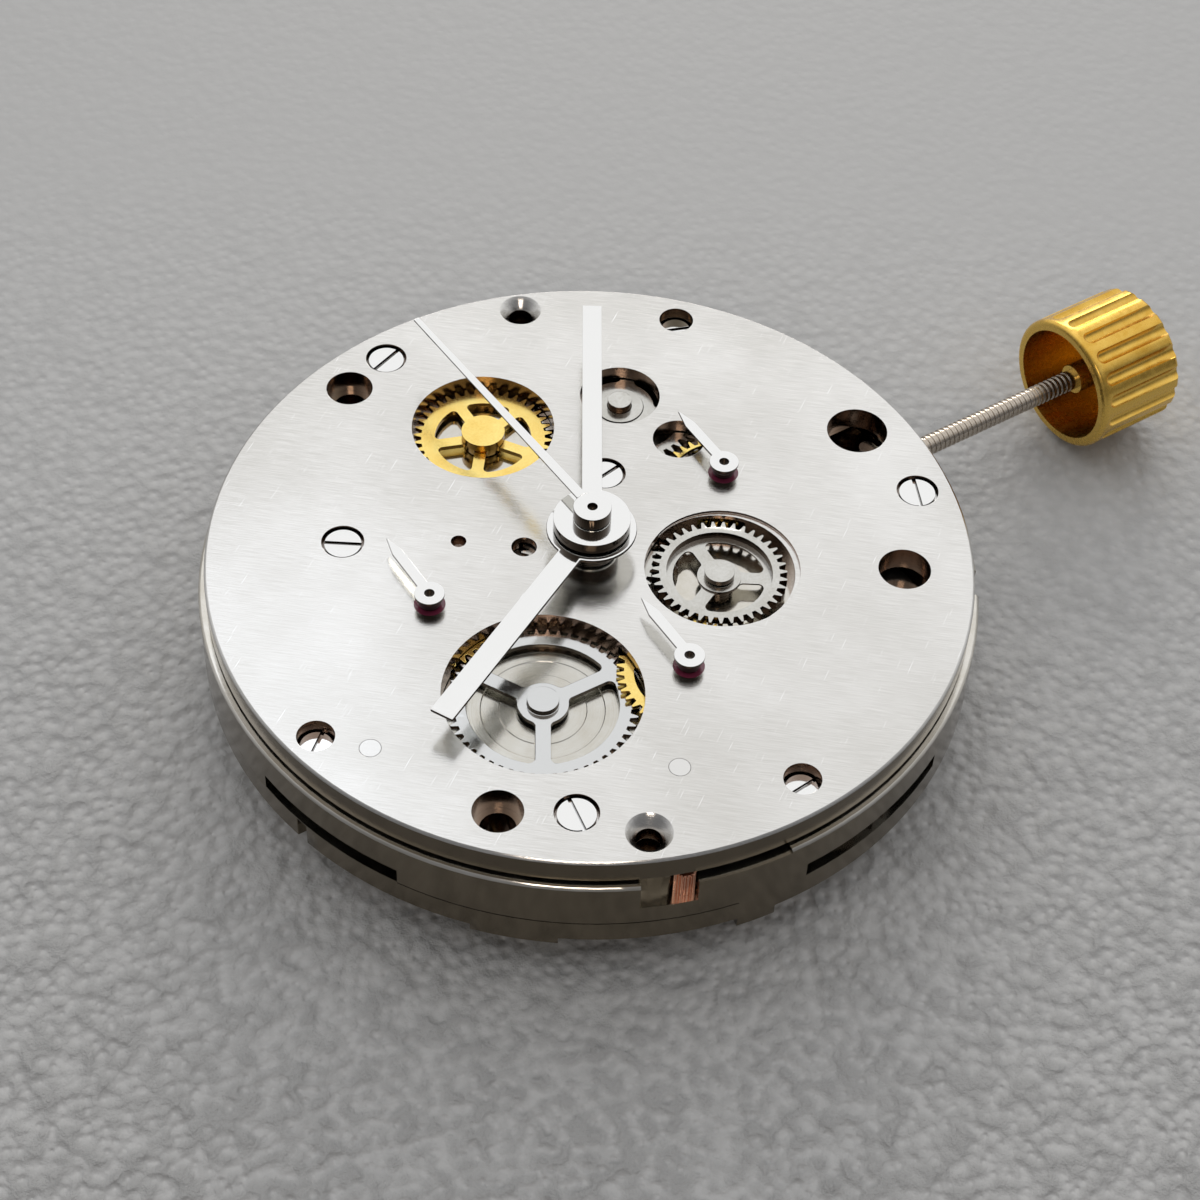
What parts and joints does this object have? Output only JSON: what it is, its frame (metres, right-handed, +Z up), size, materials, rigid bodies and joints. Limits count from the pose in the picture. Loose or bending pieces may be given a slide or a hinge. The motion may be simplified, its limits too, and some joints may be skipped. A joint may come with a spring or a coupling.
{
  "type": "mechanical watch movement",
  "caption": "Hand-wound chronograph watch movement, dial side up without its dial, with bare hands, open wheel windows, stem and fluted crown.",
  "frame": {"origin": "hand axis at the dial seat, the top face of the dial-side plate", "axes": "+Z up from the dial seat along the hand axis, +X along the stem to 3 o'clock, +Y to 12 o'clock"},
  "size_m": [0.0447, 0.0312, 0.0089],
  "materials": {
    "plate": "fine straight brushing",
    "frame": "satin nickel with warm flange",
    "polished_steel": "polished",
    "steel": "turned and polished",
    "gilt": "gilt",
    "ruby": "polished jewel",
    "crown_brass": "golden brass",
    "blue_spring": "tempered"
  },
  "bodies": {
    "movement": {"dial_side_plate": "plate", "main_plate": "frame", "barrel_bridge": "frame", "train_bridge": "frame", "pallet_bridge": "frame", "balance_cock": "frame", "chronograph_bridge": "frame", "jewels": "ruby", "dial_plate_screws": "polished_steel", "recessed_screws": "polished_steel", "bridge_screws": "polished_steel", "steady_pins": "steel", "wheel_studs": "steel", "lever_posts": "steel", "hairspring": "blue_spring"},
    "fourth": {"fourth_wheel": "steel", "fourth_register_wheel": "gilt", "small_seconds_hand": "polished_steel"},
    "coupling": {"coupling_wheel": "steel", "coupling_disc": "steel"},
    "sweep_gear": {"sweep_wheel": "steel"},
    "third": {"third_wheel": "gilt"},
    "second": {"second_wheel": "gilt"},
    "barrel": {"barrel_drum": "gilt", "barrel_lid": "gilt", "mainspring": "steel"},
    "escape": {"escape_wheel": "steel"},
    "cannon": {"cannon_pinion": "steel", "minute_hand": "polished_steel"},
    "minute_works": {"minute_wheel": "gilt"},
    "hour": {"hour_wheel": "gilt", "hour_hand": "polished_steel"},
    "carrier": {"carrier_wheel": "gilt"},
    "driving": {"driving_wheel": "steel"},
    "setting": {"setting_wheel": "steel"},
    "transfer": {"transfer_wheel": "steel"},
    "hour_register": {"hour_register_wheel": "gilt"},
    "winding_sleeve": {"winding_pinion": "steel"},
    "winding_stem": {"stem": "steel", "crown": "crown_brass"},
    "clutch": {"sliding_pinion": "steel"},
    "crown_gear": {"crown_wheel": "steel"},
    "ratchet": {"ratchet_wheel": "steel", "barrel_arbor": "steel"},
    "click_pawl": {"click": "steel"},
    "yoke_arm": {"yoke": "steel"},
    "stem_lever": {"setting_lever": "steel"},
    "runner": {"chronograph_runner": "steel", "sweep_hand": "polished_steel"},
    "minute_count": {"minute_counter": "steel", "minute_register_wheel": "gilt", "minute_counter_hand": "polished_steel"},
    "hour_count": {"hour_counter": "steel", "hour_counter_hand": "polished_steel"},
    "column": {"column_wheel": "steel"},
    "operating": {"operating_lever": "steel"},
    "hammer": {"reset_hammer": "steel"},
    "pallet": {"pallet_fork": "steel"},
    "balance": {"balance_wheel": "gilt", "balance_staff": "steel"}
  },
  "joints": [
    {"name": "fourth_turn", "type": "hinge", "parent": "movement", "child": "fourth", "pos_m": [-0.00695, 0.0008, -0.001], "axis": [0, 0, 1], "continuous": true},
    {"name": "coupling_turn", "type": "hinge", "parent": "movement", "child": "coupling", "pos_m": [-0.00549, -0.00527, -0.001], "axis": [0, 0, 1], "continuous": true},
    {"name": "sweep_gear_turn", "type": "hinge", "parent": "movement", "child": "sweep_gear", "pos_m": [0, 0, -0.001], "axis": [0, 0, 1], "continuous": true},
    {"name": "third_turn", "type": "hinge", "parent": "movement", "child": "third", "pos_m": [-0.00413, 0.0035, -0.0025], "axis": [0, 0, 1], "continuous": true},
    {"name": "second_turn", "type": "hinge", "parent": "movement", "child": "second", "pos_m": [-0.00011, 0.00563, -0.0025], "axis": [0, 0, 1], "continuous": true},
    {"name": "barrel_turn", "type": "hinge", "parent": "movement", "child": "barrel", "pos_m": [0.00574, 0.00677, -0.003], "axis": [0, 0, 1], "continuous": true},
    {"name": "escape_turn", "type": "hinge", "parent": "movement", "child": "escape", "pos_m": [-0.00682, -0.00239, -0.0027], "axis": [0, 0, 1], "continuous": true},
    {"name": "minute_hand_turn", "type": "hinge", "parent": "movement", "child": "cannon", "pos_m": [0, 0, -0.001], "axis": [0, 0, 1], "continuous": true},
    {"name": "minute_works_turn", "type": "hinge", "parent": "movement", "child": "minute_works", "pos_m": [-0.0013, 0.00303, -0.00075], "axis": [0, 0, 1], "continuous": true},
    {"name": "hour_hand_turn", "type": "hinge", "parent": "movement", "child": "hour", "pos_m": [0, 0, -0.0005], "axis": [0, 0, 1], "continuous": true},
    {"name": "carrier_turn", "type": "hinge", "parent": "movement", "child": "carrier", "pos_m": [-0.00015, 0.00813, -0.00075], "axis": [0, 0, 1], "continuous": true},
    {"name": "driving_turn", "type": "hinge", "parent": "movement", "child": "driving", "pos_m": [0.00574, 0.00677, -0.00075], "axis": [0, 0, 1], "continuous": true},
    {"name": "setting_turn", "type": "hinge", "parent": "movement", "child": "setting", "pos_m": [0.0089, 0.0026, -0.00075], "axis": [0, 0, 1], "continuous": true},
    {"name": "transfer_turn", "type": "hinge", "parent": "movement", "child": "transfer", "pos_m": [0.00385, -0.00352, -0.0005], "axis": [0, 0, 1], "continuous": true},
    {"name": "hour_register_turn", "type": "hinge", "parent": "movement", "child": "hour_register", "pos_m": [0, -0.00704, -0.0005], "axis": [0, 0, 1], "continuous": true},
    {"name": "crown_turn", "type": "hinge", "parent": "movement", "child": "winding_sleeve", "pos_m": [0.0127, 0, -0.00315], "axis": [1, 0, 0], "continuous": true},
    {"name": "crown_pull", "type": "slide", "parent": "winding_sleeve", "child": "winding_stem", "axis": [1, 0, 0], "range_m": [0, 0.0007]},
    {"name": "clutch_slide", "type": "slide", "parent": "winding_sleeve", "child": "clutch", "axis": [1, 0, 0], "range_m": [-0.0007, 0]},
    {"name": "yoke_swing", "type": "hinge", "parent": "movement", "child": "yoke_arm", "pos_m": [0.01017, -0.00733, -0.0016], "axis": [0, 0, 1], "range_deg": [0, 5.48]},
    {"name": "setting_lever_swing", "type": "hinge", "parent": "movement", "child": "stem_lever", "pos_m": [0.0141, -0.00221, -0.0016], "axis": [0, 0, 1], "range_deg": [-18.17, 0]},
    {"name": "crown_wheel_turn", "type": "hinge", "parent": "movement", "child": "crown_gear", "pos_m": [0.0108, 0.00131, -0.00465], "axis": [0, 0, 1], "continuous": true},
    {"name": "ratchet_turn", "type": "hinge", "parent": "movement", "child": "ratchet", "pos_m": [0.00574, 0.00677, -0.00465], "axis": [0, 0, 1], "continuous": true},
    {"name": "click_swing", "type": "hinge", "parent": "movement", "child": "click_pawl", "pos_m": [0.00355, 0.00076, -0.00465], "axis": [0, 0, 1], "range_deg": [0, 8]},
    {"name": "chronograph_turn", "type": "hinge", "parent": "movement", "child": "runner", "pos_m": [0, 0, 0], "axis": [0, 0, 1], "continuous": true},
    {"name": "minute_count_turn", "type": "hinge", "parent": "movement", "child": "minute_count", "pos_m": [0.00695, 0.0008, 0], "axis": [0, 0, 1], "continuous": true},
    {"name": "hour_count_turn", "type": "hinge", "parent": "movement", "child": "hour_count", "pos_m": [0, -0.00704, 0], "axis": [0, 0, 1], "continuous": true},
    {"name": "column_turn", "type": "hinge", "parent": "movement", "child": "column", "pos_m": [0.00329, -0.01245, -0.004], "axis": [0, 0, 1], "continuous": true},
    {"name": "operating_swing", "type": "hinge", "parent": "movement", "child": "operating", "pos_m": [0.00885, -0.01055, -0.0052], "axis": [0, 0, 1], "range_deg": [-4, 3]},
    {"name": "hammer_swing", "type": "hinge", "parent": "movement", "child": "hammer", "pos_m": [0.0054, -0.00691, -0.0052], "axis": [0, 0, 1], "range_deg": [-4, 4]},
    {"name": "pallet_swing", "type": "hinge", "parent": "movement", "child": "pallet", "pos_m": [-0.00671, -0.00494, -0.0027], "axis": [0, 0, 1], "range_deg": [-4, 4]},
    {"name": "balance_swing", "type": "hinge", "parent": "movement", "child": "balance", "pos_m": [-0.0066, -0.00764, -0.004], "axis": [0, 0, 1], "range_deg": [-270, 270]}
  ],
  "couplings": [
    {"joint": "coupling_turn", "follows": "fourth_turn", "ratio": -0.75},
    {"joint": "sweep_gear_turn", "follows": "fourth_turn", "ratio": 1},
    {"joint": "third_turn", "follows": "fourth_turn", "ratio": -0.2},
    {"joint": "second_turn", "follows": "fourth_turn", "ratio": 0.033333},
    {"joint": "barrel_turn", "follows": "fourth_turn", "ratio": -0.0041667},
    {"joint": "escape_turn", "follows": "fourth_turn", "ratio": -9},
    {"joint": "minute_works_turn", "follows": "minute_hand_turn", "ratio": -0.33333},
    {"joint": "hour_hand_turn", "follows": "minute_hand_turn", "ratio": 0.083333},
    {"joint": "carrier_turn", "follows": "minute_hand_turn", "ratio": 0.3},
    {"joint": "driving_turn", "follows": "minute_hand_turn", "ratio": -0.25},
    {"joint": "setting_turn", "follows": "minute_hand_turn", "ratio": 0.42857},
    {"joint": "transfer_turn", "follows": "minute_hand_turn", "ratio": -0.08547},
    {"joint": "hour_register_turn", "follows": "minute_hand_turn", "ratio": 0.083333},
    {"joint": "clutch_slide", "follows": "crown_pull", "ratio": -1},
    {"joint": "yoke_swing", "follows": "crown_pull", "rad_per_m": 136.37},
    {"joint": "setting_lever_swing", "follows": "crown_pull", "rad_per_m": -452.86},
    {"joint": "crown_wheel_turn", "follows": "crown_turn", "ratio": 0.48276},
    {"joint": "ratchet_turn", "follows": "crown_turn", "ratio": -0.21875}
  ]
}
